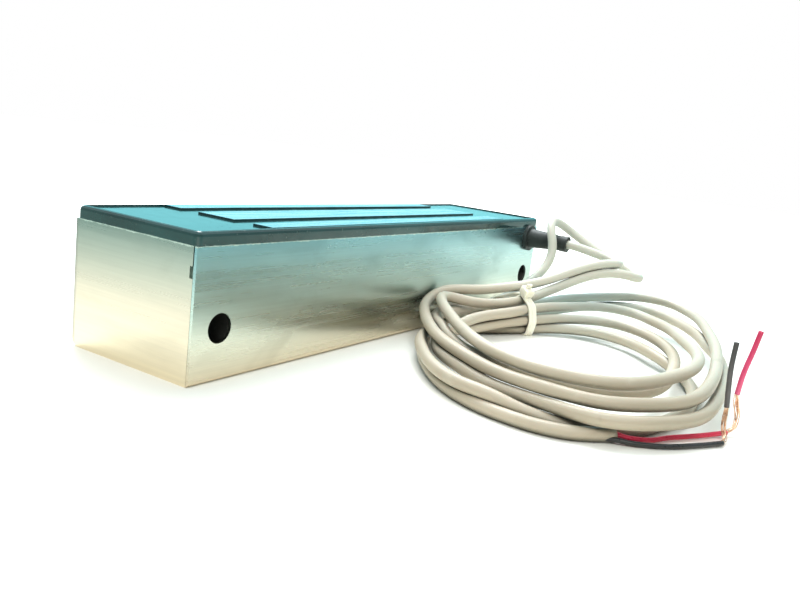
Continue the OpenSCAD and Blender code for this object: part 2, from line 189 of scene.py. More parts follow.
TURN_5 = [[0, -48, 8], [-14, -48, 7.2], [-28, -55, 6.8], [-36, -61, 6.4], [-47.5, -78.5, 6],
          [-55, -92.5, 6.2], [-57, -106.5, 6.6], [-58.5, -113, 6.8], [-59, -124, 7], [-52.5, -133, 7],
          [-44, -139.5, 7], [-31.5, -145, 7], [-14.5, -145.5, 7.4], [15, -142.5, 7.8], [47.5, -135, 8],
          [63.5, -127.5, 8.4], [80, -119, 9.6], [99, -105, 10], [110, -90.5, 10], [113, -76, 9],
          [108, -64, 7]]
TAIL = [[92, -54, 5], [74, -47, 4], [60, -42, 3.2], [46, -36.5, 3.2], [32, -34, 8.4], [20, -32, 9.6],
        [8, -33, 7.6], [-4, -37, 4], [-16, -43, 2.4], [-30, -51, 2.1], [-42, -60.5, 2.1], [-52, -70.5, 2.1],
        [-59, -80.5, 2.1], [-62.5, -90, 2.1], [-64.5, -99, 2.1], [-65, -108.5, 2.1], [-63, -116.5, 2.1],
        [-58.5, -122.6, 2.1], [-52.5, -127, 2.1]]
CABLE_D = 4.2
TIE_AT = np.array([50.0, -47.5])
TIE_TURN = math.radians(-27)
TIE_X = np.array([math.cos(TIE_TURN), math.sin(TIE_TURN)])
TIE_Y = np.array([-math.sin(TIE_TURN), math.cos(TIE_TURN)])


def settle(route, d, step=3.0, rounds=240):
    """The route with its turns pushed apart until they lie against each other, on the table and off the lock."""
    p = respace(catmull(route, 10), step)
    home = p.copy()
    n = len(p)
    idx = np.arange(n)
    far = np.abs(idx[:, None] - idx[None, :]) > 5
    r = d / 2
    along = np.r_[0, np.cumsum(np.linalg.norm(np.diff(home, axis=0), axis=1))]
    over_tie = (along < 150) & (np.abs((p[:, :2] - TIE_AT) @ TIE_X) < 7) & (p[:, 1] > -62)
    i = j = want = None
    for it in range(rounds):
        if it % 10 == 0:
            diff = p[:, None, :] - p[None, :, :]
            i, j = np.nonzero(far & ((diff * diff).sum(2) < 81.0))
            want = np.where(over_tie[i] | over_tie[j], d + 1.7, d * 1.015)
        e = p[i] - p[j]
        dist = np.sqrt((e * e).sum(1))
        hit = dist < want
        push = np.where(hit, (want - dist) / np.maximum(dist, 0.3), 0.0)
        mv = np.stack([np.bincount(i, e[:, k] * push, n) for k in range(3)], 1)
        p = p + mv * 0.42 / np.sqrt(np.maximum(np.bincount(i, hit, n), 1))[:, None]
        lap = np.zeros_like(p)
        lap[1:-1] = 0.5 * (p[:-2] + p[2:]) - p[1:-1]
        bend = np.zeros_like(p)
        bend[2:-2] = -(p[:-4] - 4 * p[1:-3] + 6 * p[2:-2] - 4 * p[3:-1] + p[4:]) / 16
        p = p + bend * (0.5 if it < rounds * 0.7 else 0.24) + lap * 0.02
        p = p + (home - p) * (0.03 if it < rounds * 0.8 else 0.004)
        wall = (np.abs(p[:, 0]) < 116) & (p[:, 2] < 46) & (along > 14)
        p[:, 1] = np.where(wall, np.minimum(p[:, 1], -26 - r - 0.1), p[:, 1])
        off = (along > 30) & (p[:, 1] > -50.5)
        c = p[:, [0, 2]] - np.array([105, 34.5])
        q = np.linalg.norm(c, axis=1)
        need = np.where(p[:, 1] > -29, 6.6, 5.6) + r
        f = np.where(off & (q < need), need / np.maximum(q, 0.1), 1.0)
        p[:, 0] = np.minimum(105 + c[:, 0] * f, 116.4)
        p[:, 2] = np.maximum(34.5 + c[:, 1] * f, r + 0.02)
        p[:4] = home[:4]
        p[-2:] = home[-2:]
    return p


route = LEAD + TURN_1 + TURN_2 + TURN_3 + BACK + LOOP + TURN_4 + TURN_5 + TAIL
cable_path = settle(route, CABLE_D)
ring_path = respace(catmull(cable_path, 3), 1.5)


def cable_shape(s, a):
    # the sheath follows its two twisted cores very slightly
    return 1.0 + 0.010 * math.cos(2 * (a - s * 2 * math.pi / 46.0)) + 0.004 * math.sin(s * 0.21 + 2 * a)


cable = tube("supply_cable", ring_path, CABLE_D / 2, sides=18, profile=cable_shape)
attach(cable, "root")
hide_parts("cable_lead", "cable_standing_loop", "cable_coil")

# ------------------------------------------------------------------ the tie
# its band is the taut outline of the strands that pass through it
local = np.stack([(ring_path[:, :2] - TIE_AT) @ TIE_X, (ring_path[:, :2] - TIE_AT) @ TIE_Y, ring_path[:, 2]], 1)
along_mm = np.r_[0, np.cumsum(np.linalg.norm(np.diff(ring_path, axis=0), axis=1))]
cross = []
for a in range(len(local) - 1):
    x0, x1 = local[a][0], local[a + 1][0]
    if x0 * x1 <= 0 and x0 != x1 and abs(local[a][1]) < 14 and along_mm[a] > 150:
        f = x0 / (x0 - x1)
        cross.append(local[a] + f * (local[a + 1] - local[a]))
cross = np.array(cross)
angles = np.linspace(0, 2 * np.pi, 73)[:-1]
circle = np.stack([np.cos(angles), np.sin(angles)], 1)
cloud = np.vstack([c[1:] + circle * (CABLE_D / 2 + 0.45) for c in cross])


def hull(points):
    pts = sorted(map(tuple, points))

    def half(seq):
        out = []
        for q in seq:
            while len(out) > 1 and ((out[-1][0] - out[-2][0]) * (q[1] - out[-2][1])
                                    - (out[-1][1] - out[-2][1]) * (q[0] - out[-2][0])) <= 0:
                out.pop()
            out.append(q)
        return out[:-1]
    return np.array(half(pts) + half(pts[::-1]))


band = hull(cloud)
band[:, 1] = np.maximum(band[:, 1], 0.62)
band = np.vstack([band, band[:1]])
band = respace(np.c_[band, np.zeros(len(band))], n=141)[:-1, :2]
# soften the corners a little, as a nylon band bends
for _ in range(3):
    band = 0.5 * band + 0.25 * (np.roll(band, 1, 0) + np.roll(band, -1, 0))
nb = len(band)
tang = np.roll(band, -1, 0) - np.roll(band, 1, 0)
tang /= np.linalg.norm(tang, axis=1)[:, None]
outward = np.stack([tang[:, 1], -tang[:, 0]], 1)


def tie_point(x, y, z):
    q = TIE_AT + x * TIE_X + y * TIE_Y
    return (q[0] * MM, q[1] * MM, z * MM)


TIE_W, TIE_T = 3.9, 1.1
section = [(-TIE_W / 2 + 0.2, 0.02), (TIE_W / 2 - 0.2, 0.02), (TIE_W / 2, 0.22), (TIE_W / 2, TIE_T - 0.3),
           (TIE_W / 2 - 0.35, TIE_T), (0.55, TIE_T - 0.06), (0.45, TIE_T - 0.22), (-0.45, TIE_T - 0.22),
           (-0.55, TIE_T - 0.06), (-TIE_W / 2 + 0.35, TIE_T), (-TIE_W / 2, TIE_T - 0.3), (-TIE_W / 2, 0.22)]
verts, faces = [], []
ns = len(section)
for a in range(nb):
    for sx, so in section:
        y = band[a][0] + outward[a][0] * so
        z = max(band[a][1] + outward[a][1] * so, 0.02)
        verts.append(tie_point(sx, y, z))
for a in range(nb):
    b = (a + 1) % nb
    for k in range(ns):
        k2 = (k + 1) % ns
        faces.append((a * ns + k, a * ns + k2, b * ns + k2, b * ns + k))


def rounded_block(centre, half, axes, bevel, taper=0.0):
    """A block with softened edges: 3 rounded rings per side, as vertices and faces."""
    out_v, out_f = [], []
    cx, ax = np.array(centre, float), [np.array(a, float) for a in axes]
    prof = [(-half[2], bevel), (-half[2] + bevel * 0.3, bevel * 0.3), (-half[2] + bevel, 0.0),
            (half[2] - bevel, 0.0), (half[2] - bevel * 0.3, bevel * 0.3), (half[2], bevel)]
    per = 24
    for z, inset in prof:
        hx, hy = half[0] - inset - taper * (z + half[2]), half[1] - inset - taper * (z + half[2])
        cr = min(hx, hy) * 0.28
        for k in range(per):
            a = 2 * math.pi * (k + 0.5) / per
            sx, sy = math.copysign(1, math.cos(a)), math.copysign(1, math.sin(a))
            q = (a % (math.pi / 2))
            q = (q / (math.pi / 2)) * (math.pi / 2)
            px = sx * (hx - cr) + cr * math.cos(a)
            py = sy * (hy - cr) + cr * math.sin(a)
            out_v.append(cx + px * ax[0] + py * ax[1] + z * ax[2])
    n = len(prof)
    for i in range(n - 1):
        for k in range(per):
            k2 = (k + 1) % per
            out_f.append((i * per + k, i * per + k2, (i + 1) * per + k2, (i + 1) * per + k))
    out_f.append(tuple(range(per - 1, -1, -1)))
    out_f.append(tuple((n - 1) * per + k for k in range(per)))
    return out_v, out_f


# the head sits on the band's near upper corner, with the cut end standing out of it
top_i = int(np.argmax(band @ np.array([-0.42, 0.91])))
head_y, head_z = band[top_i] + outward[top_i] * (TIE_T + 1.5)
o2 = outward[top_i]
t2 = np.array([-o2[1], o2[0]])
ax_x = np.array([TIE_X[0], TIE_X[1], 0.0])
ax_o = np.array([TIE_Y[0] * o2[0], TIE_Y[1] * o2[0], o2[1]])
ax_t = np.array([TIE_Y[0] * t2[0], TIE_Y[1] * t2[0], t2[1]])
hc = np.array([*(TIE_AT + head_y * TIE_Y), head_z])
hv, hf = rounded_block(hc, (2.3, 2.4, 1.75), (ax_x, ax_t, ax_o), 0.5)
base = len(verts)
verts += [tuple(v * MM) for v in hv]
faces += [tuple(base + i for i in f) for f in hf]
tv, tf = rounded_block(hc + ax_o * 2.4 - ax_t * 0.3, (1.25, 0.45, 1.3), (ax_x, ax_t, ax_o), 0.15)
base = len(verts)
verts += [tuple(v * MM) for v in tv]
faces += [tuple(base + i for i in f) for f in tf]
tie = new_object("nylon_tie", verts, faces)
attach(tie, "root")
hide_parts("cable_tie")

# ------------------------------------------------------------------ cut end
END = cable_path[-1]
RED = [[-56.5, -123.4, 2.5], [-53.2, -126.4, 2.5], [-50.6, -131.2, 1.7], [-45, -135.6, 1.0], [-38, -139.2, 1.0],
       [-28, -145.5, 1.0], [-19, -151, 1.3]]
BLACK = [[-57, -124.5, 1.5], [-54.2, -128.8, 1.3], [-51.5, -133.6, 0.9], [-46, -140.5, 0.9], [-37, -147, 0.9],
         [-29, -152, 1.0]]
red = tube("red_conductor", respace(catmull(RED, 8), 0.8), 0.75, sides=14)
black = tube("black_conductor", respace(catmull(BLACK, 8), 0.8), 0.75, sides=14)
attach(red, "root")
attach(black, "root")
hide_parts("conductor_red")
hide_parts("conductor_black")


def strands(name, path, count, bundle_r, wire_r, twist, seed):
    rng = np.random.default_rng(seed)
    p = respace(catmull(path, 8), 0.5)
    t, u, v = frames_along(p)
    L = np.linspace(0, 1, len(p))
    verts, faces = [], []
    for w in range(count):
        ph = 2 * math.pi * w / max(count - 1, 1)
        rr = 0.0 if w == count - 1 else bundle_r * (0.8 + 0.35 * rng.random())
        stray = rng.normal(0, 0.22, 2)
        c = []
        for i in range(len(p)):
            a = ph + twist * L[i]
            spread = 1 + 0.9 * math.sin(math.pi * L[i]) ** 2 * (0.5 + rng.random() * 0.02)
            c.append(p[i] + u[i] * (rr * spread * math.cos(a) + stray[0] * math.sin(math.pi * L[i]))
                     + v[i] * (rr * spread * math.sin(a) + stray[1] * math.sin(math.pi * L[i])))
        c = np.array(c)
        c[:, 2] = np.maximum(c[:, 2], wire_r + 0.05)
        tt, uu, vv = frames_along(c)
        base = len(verts)
        sides = 6
        for i in range(len(c)):
            for k in range(sides):
                a = 2 * math.pi * k / sides
                verts.append((c[i] + wire_r * (math.cos(a) * uu[i] + math.sin(a) * vv[i])) * MM)
        for i in range(len(c) - 1):
            for k in range(sides):
                k2 = (k + 1) % sides
                faces.append((base + i * sides + k, base + i * sides + k2,
                              base + (i + 1) * sides + k2, base + (i + 1) * sides + k))
        faces.append(tuple(base + k for k in range(sides - 1, -1, -1)))
        faces.append(tuple(base + (len(c) - 1) * sides + k for k in range(sides)))
    return new_object(name, verts, faces)


RED_BARE = [[-20, -150.4, 1.3], [-16, -152.2, 2.4], [-13.8, -152.4, 5.5], [-15.6, -151.8, 9.5],
            [-18, -151.6, 13], [-18.4, -151.8, 16]]
BLACK_BARE = [[-30, -151.6, 1.0], [-25.5, -151.8, 1.4], [-22.5, -150.6, 4], [-21, -150, 8],
              [-20.8, -150, 12]]
bare_a = strands("red_core_strands", RED_BARE, 9, 0.34, 0.13, 4.5, 3)
bare_b = strands("black_core_strands", BLACK_BARE, 9, 0.34, 0.13, 4.0, 8)
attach(bare_a, "root")
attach(bare_b, "root")
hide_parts("bare_strands")

RED_SLUG = [[-18.4, -151.7, 13.4], [-17.9, -152.2, 20], [-17.0, -153.4, 27], [-16.4, -154.3, 33]]
BLACK_SLUG = [[-20.9, -150.0, 9.5], [-21.3, -149.4, 16], [-21.3, -149.0, 22], [-20.6, -149.0, 29]]


def slug_tube(name, path, r_out, r_in, depth):
    """A short hollow sleeve of insulation, cut square at both ends."""
    p = respace(catmull(path, 8), 0.6)
    t, u, v = frames_along(p)
    sides = 16
    verts, faces = [], []

    def ring(c, uu, vv, r):
        b = len(verts)
        for k in range(sides):
            a = 2 * math.pi * k / sides
            verts.append((c + r * (math.cos(a) * uu + math.sin(a) * vv)) * MM)
        return b

    def join(a, b):
        for k in range(sides):
            k2 = (k + 1) % sides
            faces.append((a + k, a + k2, b + k2, b + k))
    rings = [ring(p[0] + t[0] * depth, u[0], v[0], r_in), ring(p[0], u[0], v[0], r_in),
             ring(p[0] - t[0] * 0.0, u[0], v[0], r_out - 0.12)]
    for i in range(len(p)):
        rings.append(ring(p[i], u[i], v[i], r_out))
    rings += [ring(p[-1] + t[-1] * 0.06, u[-1], v[-1], r_out - 0.12), ring(p[-1] + t[-1] * 0.06, u[-1], v[-1], r_in),
              ring(p[-1] - t[-1] * depth, u[-1], v[-1], r_in)]
    for a, b in zip(rings[:-1], rings[1:]):
        join(a, b)
    faces.append(tuple(rings[0] + k for k in range(sides)))
    faces.append(tuple(rings[-1] + k for k in range(sides - 1, -1, -1)))
    ob = new_object(name, verts, faces)
    return ob


slug_r = slug_tube("red_insulation_slug", RED_SLUG, 0.78, 0.42, 1.6)
slug_b = slug_tube("black_insulation_slug", BLACK_SLUG, 0.78, 0.42, 1.6)
for ob, node, sl in ((slug_r, "insulation_slug_red", "wire_red"), (slug_b, "insulation_slug_black", "wire_black")):
    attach(ob, "root")
    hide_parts(node)

# ------------------------------------------------------------------ materials


class Nodes:
    def __init__(self, name):
        self.mat = bpy.data.materials.new(name)
        self.mat.use_nodes = True
        self.nt = self.mat.node_tree
        self.nt.nodes.clear()
        self.out = self.nt.nodes.new("ShaderNodeOutputMaterial")
        self.bsdf = self.nt.nodes.new("ShaderNodeBsdfPrincipled")
        self.nt.links.new(self.bsdf.outputs["BSDF"], self.out.inputs["Surface"])
        self.coord = self.nt.nodes.new("ShaderNodeTexCoord")

    def link(self, a, b):
        self.nt.links.new(a, b)

    def mapped(self, scale, rot=(0, 0, 0), loc=(0, 0, 0)):
        m = self.nt.nodes.new("ShaderNodeMapping")
        m.inputs["Scale"].default_value = scale
        m.inputs["Rotation"].default_value = rot
        m.inputs["Location"].default_value = loc
        self.link(self.coord.outputs["Object"], m.inputs["Vector"])
        return m.outputs["Vector"]

    def noise(self, vec, scale=1.0, detail=4.0, rough=0.55, dist=0.0):
        n = self.nt.nodes.new("ShaderNodeTexNoise")
        n.inputs["Scale"].default_value = scale
        n.inputs["Detail"].default_value = detail
        n.inputs["Roughness"].default_value = rough
        n.inputs["Distortion"].default_value = dist
        self.link(vec, n.inputs["Vector"])
        return n.outputs["Fac"]

    def voronoi(self, vec, scale=1.0, feature="F1"):
        n = self.nt.nodes.new("ShaderNodeTexVoronoi")
        n.feature = feature
        n.inputs["Scale"].default_value = scale
        self.link(vec, n.inputs["Vector"])
        return n.outputs["Distance"]

    def ramp(self, fac, stops):
        r = self.nt.nodes.new("ShaderNodeValToRGB")
        cr = r.color_ramp
        while len(cr.elements) > 1:
            cr.elements.remove(cr.elements[-1])
        cr.elements[0].position = stops[0][0]
        cr.elements[0].color = (*stops[0][1], 1) if len(stops[0][1]) == 3 else stops[0][1]
        for pos, col in stops[1:]:
            e = cr.elements.new(pos)
            e.color = (*col, 1) if len(col) == 3 else col
        self.link(fac, r.inputs["Fac"])
        return r.outputs["Color"]

    def range(self, fac, a, b, c, d, smooth=False):
        n = self.nt.nodes.new("ShaderNodeMapRange")
        n.clamp = True
        if smooth:
            n.interpolation_type = "SMOOTHSTEP"
        n.inputs["From Min"].default_value = a
        n.inputs["From Max"].default_value = b
        n.inputs["To Min"].default_value = c
        n.inputs["To Max"].default_value = d
        self.link(fac, n.inputs["Value"])
        return n.outputs["Result"]

    def math(self, op, a, b=None, c=None):
        n = self.nt.nodes.new("ShaderNodeMath")
        n.operation = op
        for i, x in enumerate((a, b, c)):
            if x is None:
                continue
            if isinstance(x, (int, float)):
                n.inputs[i].default_value = x
            else:
                self.link(x, n.inputs[i])
        return n.outputs["Value"]

    def mix(self, fac, a, b, mode="MIX"):
        n = self.nt.nodes.new("ShaderNodeMix")
        n.data_type = "RGBA"
        n.blend_type = mode
        for s, x in (("Factor", fac), ("A", a), ("B", b)):
            sock = [i for i in n.inputs if i.name == s and i.type == ("VALUE" if s == "Factor" else "RGBA")][0]
            if isinstance(x, (int, float)):
                sock.default_value = x
            elif isinstance(x, tuple):
                sock.default_value = (*x, 1) if len(x) == 3 else x
            else:
                self.link(x, sock)
        return [o for o in n.outputs if o.type == "RGBA"][0]

    def split(self):
        n = self.nt.nodes.new("ShaderNodeSeparateXYZ")
        self.link(self.coord.outputs["Object"], n.inputs["Vector"])
        return n.outputs["X"], n.outputs["Y"], n.outputs["Z"]

    def attr(self, name):
        n = self.nt.nodes.new("ShaderNodeAttribute")
        n.attribute_name = name
        return n.outputs["Fac"]

    def normal(self):
        n = self.nt.nodes.new("ShaderNodeNewGeometry")
        s = self.nt.nodes.new("ShaderNodeSeparateXYZ")
        self.link(n.outputs["Normal"], s.inputs["Vector"])
        return s.outputs["X"], s.outputs["Y"], s.outputs["Z"]

    def bump(self, height, strength, distance, normal=None):
        n = self.nt.nodes.new("ShaderNodeBump")
        n.inputs["Strength"].default_value = strength
        n.inputs["Distance"].default_value = distance
        self.link(height, n.inputs["Height"])
        if normal is not None:
            self.link(normal, n.inputs["Normal"])
        return n.outputs["Normal"]

    def set(self, **k):
        for key, value in k.items():
            sock = self.bsdf.inputs[key.replace("_", " ")]
            if isinstance(value, tuple):
                sock.default_value = (*value, 1) if len(value) == 3 and sock.type == "RGBA" else value
            elif isinstance(value, (int, float)):
                sock.default_value = value
            else:
                self.link(value, sock)
        return self


def steel(name, base, dark, grain_axis="X", rough=0.30, metal=1.0, stain=0.5, edge_z=None, reflection_ramp=None,
          bend_shade_y=None):
    """Brushed stainless sheet: fine grain along one axis, smudges, small scratches, a lighter ragged band along the top
    edge, and optional painted reflection and shade.
    """
    m = Nodes(name)
    stretch = {"X": (12, 900, 900), "Y": (900, 12, 900), "Z": (900, 900, 12)}[grain_axis]
    fine = m.noise(m.mapped(stretch), 1.0, 3.0, 0.6)
    coarse = m.noise(m.mapped(tuple(s * 0.22 for s in stretch)), 1.0, 2.0, 0.5)
    smudge = m.noise(m.mapped((26, 26, 60)), 1.0, 4.0, 0.6, 0.6)
    blotch = m.noise(m.mapped((9, 9, 22)), 1.0, 2.0, 0.5, 0.3)
    specks = m.range(m.voronoi(m.mapped((420, 420, 420)), 1.0), 0.05, 0.13, 1.0, 0.0)
    specks = m.math("MULTIPLY", specks, m.range(m.noise(m.mapped((70, 70, 70)), 1.0, 1.0), 0.58, 0.70, 0.0, 1.0))
    tone = m.math("ADD", m.math("MULTIPLY", fine, 0.45), m.math("MULTIPLY", coarse, 0.55))
    col = m.ramp(tone, [(0.30, tuple(c * 0.86 for c in base)), (0.52, base), (0.72, tuple(min(c * 1.10, 1) for c in base))])
    col = m.mix(m.range(smudge, 0.50, 0.78, 0.0, stain, True), col, dark)
    col = m.mix(m.range(blotch, 0.45, 0.75, 0.0, stain * 0.6, True), col, tuple(c * 0.9 for c in base))
    col = m.mix(m.math("MULTIPLY", specks, 0.5), col, (0.85, 0.88, 0.86))
    if reflection_ramp is not None:
        # painted reflection: warm cream at the base to blue-green towards the resin, standing in for the floor and sky
        # mirrored in the sheet
        fx, fy, fz = m.split()
        high = m.math("ADD", fz, m.math("MULTIPLY", m.noise(m.mapped((12, 12, 16)), 1.0, 2.0, 0.5), 0.007))
        col = m.mix(1.0, col, m.ramp(m.range(high, 0.003, 0.043, 0.0, 1.0), reflection_ramp), "MULTIPLY")
        # painted shade: the wall and end facing +X and +Y are darkened against the bright glow they mirror
        nx, ny, nz = m.normal()
        col = m.mix(m.range(m.math("MAXIMUM", nx, ny), 0.4, 0.9, 0.0, 0.70, True), col, (0.30, 0.325, 0.31))
    if bend_shade_y is not None:
        # painted shade: a darker line where the sheet turns the corner, standing in for the shade on the rounded bend
        bx, by, bz = m.split()
        col = m.mix(m.range(by, bend_shade_y - 0.0014, bend_shade_y - 0.0002, 0.0, 0.75, True), col, (0.36, 0.35, 0.33))
    if edge_z is not None:
        x, y, z = m.split()
        ragged = m.math("ADD", z, m.math("MULTIPLY", m.noise(m.mapped((420, 420, 90)), 1.0, 4.0, 0.7), 0.0014))
        rim = m.range(ragged, edge_z + 0.0009, edge_z + 0.0012, 0.0, 0.75, True)
        col = m.mix(rim, col, (0.80, 0.90, 0.84))
    r = m.math("ADD", m.range(tone, 0.3, 0.7, rough - 0.06, rough + 0.08), m.range(smudge, 0.45, 0.8, 0.0, 0.14, True))
    h = m.math("ADD", m.math("MULTIPLY", fine, 0.7), m.math("MULTIPLY", coarse, 0.5))
    nrm = m.bump(h, 0.045, 0.00006)
    wave = m.noise(m.mapped((14, 14, 24)), 1.0, 1.0, 0.4)
    nrm = m.bump(wave, 0.03, 0.0008, nrm)
    m.set(Base_Color=col, Roughness=r, Metallic=metal, Normal=nrm)
    m.bsdf.inputs["Anisotropic"].default_value = 0.35
    return m.mat


def lamination():
    """Ground faces of stacked sheets: lines every half millimetre across the stack, with grinding marks."""
    m = Nodes("laminations")
    x, y, z = m.split()
    jitter = m.math("MULTIPLY", m.noise(m.mapped((300, 20, 20)), 1.0, 2.0), 0.0004)
    lines = m.math("FRACT", m.math("DIVIDE", m.math("ADD", x, jitter), 0.0005))
    gap = m.range(m.math("ABSOLUTE", m.math("SUBTRACT", lines, 0.5)), 0.36, 0.48, 0.0, 1.0, True)
    grind = m.noise(m.mapped((30, 1500, 300)), 1.0, 3.0, 0.6)
    rust = m.noise(m.mapped((40, 60, 60)), 1.0, 5.0, 0.65, 0.4)
    col = m.ramp(grind, [(0.3, (0.19, 0.34, 0.39)), (0.5, (0.25, 0.43, 0.49)), (0.7, (0.34, 0.54, 0.60))])
    col = m.mix(m.range(rust, 0.60, 0.80, 0.0, 0.35, True), col, (0.30, 0.36, 0.34))
    col = m.mix(m.math("MULTIPLY", gap, 0.25), col, (0.12, 0.18, 0.20))
    # painted shade: the side faces of the poles, standing proud of the resin, are made near black and non-metallic
    nx, ny, nz = m.normal()
    painted_side_shade = m.range(nz, 0.3, 0.7, 1.0, 0.0)
    col = m.mix(painted_side_shade, col, (0.010, 0.045, 0.050))
    r = m.math("ADD", m.range(grind, 0.3, 0.7, 0.20, 0.34), m.math("MULTIPLY", gap, 0.15))
    nrm = m.bump(m.math("SUBTRACT", m.math("MULTIPLY", grind, 0.5), m.math("MULTIPLY", gap, 0.35)), 0.25, 0.00005)
    m.set(Base_Color=col, Roughness=r, Metallic=m.math("SUBTRACT", 1.0, painted_side_shade), Normal=nrm)
    return m.mat


def resin():
    """Glossy dark potting resin: slow waves, a few pin holes, dust, and a smeared lighter edge."""
    m = Nodes("potting_resin")
    slow = m.noise(m.mapped((30, 45, 45)), 1.0, 3.0, 0.5, 0.4)
    orange = m.noise(m.mapped((260, 260, 260)), 1.0, 2.0, 0.5)
    pits = m.range(m.voronoi(m.mapped((330, 330, 330)), 1.0), 0.04, 0.12, 1.0, 0.0)
    pits = m.math("MULTIPLY", pits, m.range(m.noise(m.mapped((45, 45, 45)), 1.0, 1.0), 0.56, 0.66, 0.0, 1.0))
    dust = m.noise(m.mapped((900, 900, 900)), 1.0, 4.0, 0.75)
    col = m.ramp(slow, [(0.35, (0.006, 0.034, 0.036)), (0.6, (0.010, 0.052, 0.055)), (0.8, (0.015, 0.072, 0.075))])
    col = m.mix(m.range(dust, 0.63, 0.76, 0.0, 0.42, True), col, (0.42, 0.50, 0.46))
    x, y, z = m.split()
    ragged = m.math("ADD", z, m.math("MULTIPLY", m.noise(m.mapped((420, 420, 160)), 1.0, 5.0, 0.7), 0.0016))
    foot = m.range(ragged, 0.0406, 0.0410, 1.0, 0.0, True)
    nx, ny, nz = m.normal()
    side = m.range(nz, 0.2, 0.6, 1.0, 0.0)
    smear = m.math("MULTIPLY", m.math("MULTIPLY", foot, side), 0.55)
    col = m.mix(smear, col, (0.34, 0.50, 0.47))
    r = m.math("ADD", m.range(orange, 0.3, 0.7, 0.07, 0.14), m.math("ADD", m.range(dust, 0.6, 0.8, 0.0, 0.25), m.math("MULTIPLY", smear, 0.4)))
    h = m.math("SUBTRACT", m.math("ADD", slow, m.math("MULTIPLY", orange, 0.05)), m.math("MULTIPLY", pits, 0.35))
    nrm = m.bump(h, 0.18, 0.0006)
    m.set(Base_Color=col, Roughness=r, Metallic=0.0, Normal=nrm, IOR=1.62)
    return m.mat


def plastic(name, base, dark, light, rough=0.4, grain=900, bump=0.1, spec=0.5, sss=0.0, marks=0.35, fleck=0.0):
    """Moulded or extruded plastic: mottled colour, handling marks, fine surface texture."""
    m = Nodes(name)
    big = m.noise(m.mapped((40, 40, 40)), 1.0, 4.0, 0.55, 0.3)
    mid = m.noise(m.mapped((170, 170, 170)), 1.0, 3.0, 0.6)
    fine = m.noise(m.mapped((grain, grain, grain)), 1.0, 3.0, 0.6)
    col = m.ramp(big, [(0.30, dark), (0.50, base), (0.74, light)])
    col = m.mix(m.range(mid, 0.58, 0.80, 0.0, marks, True), col, dark)
    if fleck:
        col = m.mix(m.range(fine, 0.62, 0.75, 0.0, fleck, True), col, light)
    r = m.math("ADD", m.range(fine, 0.3, 0.7, rough - 0.05, rough + 0.07), m.range(mid, 0.5, 0.8, 0.0, 0.12, True))
    h = m.math("ADD", m.math("MULTIPLY", fine, 0.6), m.math("MULTIPLY", mid, 0.6))
    nrm = m.bump(h, bump, 0.00012)
    m.set(Base_Color=col, Roughness=r, Metallic=0.0, Normal=nrm, Specular_IOR_Level=spec)
    if sss:
        m.bsdf.inputs["Subsurface Weight"].default_value = sss
        m.bsdf.inputs["Subsurface Scale"].default_value = 0.002
        m.bsdf.inputs["Subsurface Radius"].default_value = (1.0, 0.8, 0.6)
    return m.mat


def sheath():
    """Extruded PVC: faint lengthwise flow lines, rub marks, and painted shade where turns touch."""
    m = Nodes("cable_sheath")
    along = m.attr("along")
    turn = m.attr("round")
    comb = m.nt.nodes.new("ShaderNodeCombineXYZ")
    m.link(m.math("MULTIPLY", along, 60.0), comb.inputs["X"])
    m.link(m.math("MULTIPLY", m.math("COSINE", turn), 2.0), comb.inputs["Y"])
    m.link(m.math("MULTIPLY", m.math("SINE", turn), 2.0), comb.inputs["Z"])
    flow = m.noise(comb.outputs["Vector"], 2.2, 3.0, 0.55)
    rub = m.noise(m.mapped((90, 90, 90)), 1.0, 4.0, 0.6, 0.3)
    fine = m.noise(m.mapped((1400, 1400, 1400)), 1.0, 3.0, 0.6)
    big = m.noise(m.mapped((16, 16, 30)), 1.0, 2.0, 0.5)
    col = m.ramp(big, [(0.32, (0.42, 0.37, 0.29)), (0.52, (0.50, 0.44, 0.35)), (0.72, (0.57, 0.52, 0.43))])
    col = m.mix(m.range(flow, 0.50, 0.75, 0.0, 0.22, True), col, (0.36, 0.30, 0.22))
    col = m.mix(m.range(rub, 0.58, 0.78, 0.0, 0.30, True), col, (0.66, 0.62, 0.54))
    col = m.mix(m.range(rub, 0.22, 0.38, 0.35, 0.0, True), col, (0.28, 0.24, 0.18))
    x, y, z = m.split()
    # painted light: a cool cyan cast on the turns in the patch x 30 to 90 mm, y -115 to -60 mm
    painted_cyan_light = m.math("MULTIPLY", m.range(x, 0.03, 0.09, 0.0, 0.75, True), m.range(y, -0.115, -0.06, 0.0, 1.0, True))
    col = m.mix(painted_cyan_light, col, (0.27, 0.38, 0.385))
    # painted light: the higher turns are lightened, as lit from above
    col = m.mix(m.range(z, 0.013, 0.024, 0.0, 0.65, True), col, (0.80, 0.77, 0.67))
    # painted shade in the seams between turns, from an ambient occlusion mask
    ao = m.nt.nodes.new("ShaderNodeAmbientOcclusion")
    ao.samples = 6
    ao.inputs["Distance"].default_value = 0.006
    col = m.mix(m.range(ao.outputs["AO"], 0.15, 0.72, 0.88, 0.0, True), col, (0.055, 0.060, 0.048))
    r = m.math("ADD", m.range(fine, 0.3, 0.7, 0.34, 0.46), m.range(rub, 0.5, 0.8, 0.0, 0.14, True))
    h = m.math("ADD", m.math("MULTIPLY", flow, 0.8), m.math("MULTIPLY", fine, 0.25))
    nrm = m.bump(h, 0.20, 0.00012)
    m.set(Base_Color=col, Roughness=r, Metallic=0.0, Normal=nrm, Specular_IOR_Level=0.45)
    m.bsdf.inputs["Subsurface Weight"].default_value = 0.08
    m.bsdf.inputs["Subsurface Scale"].default_value = 0.0015
    return m.mat


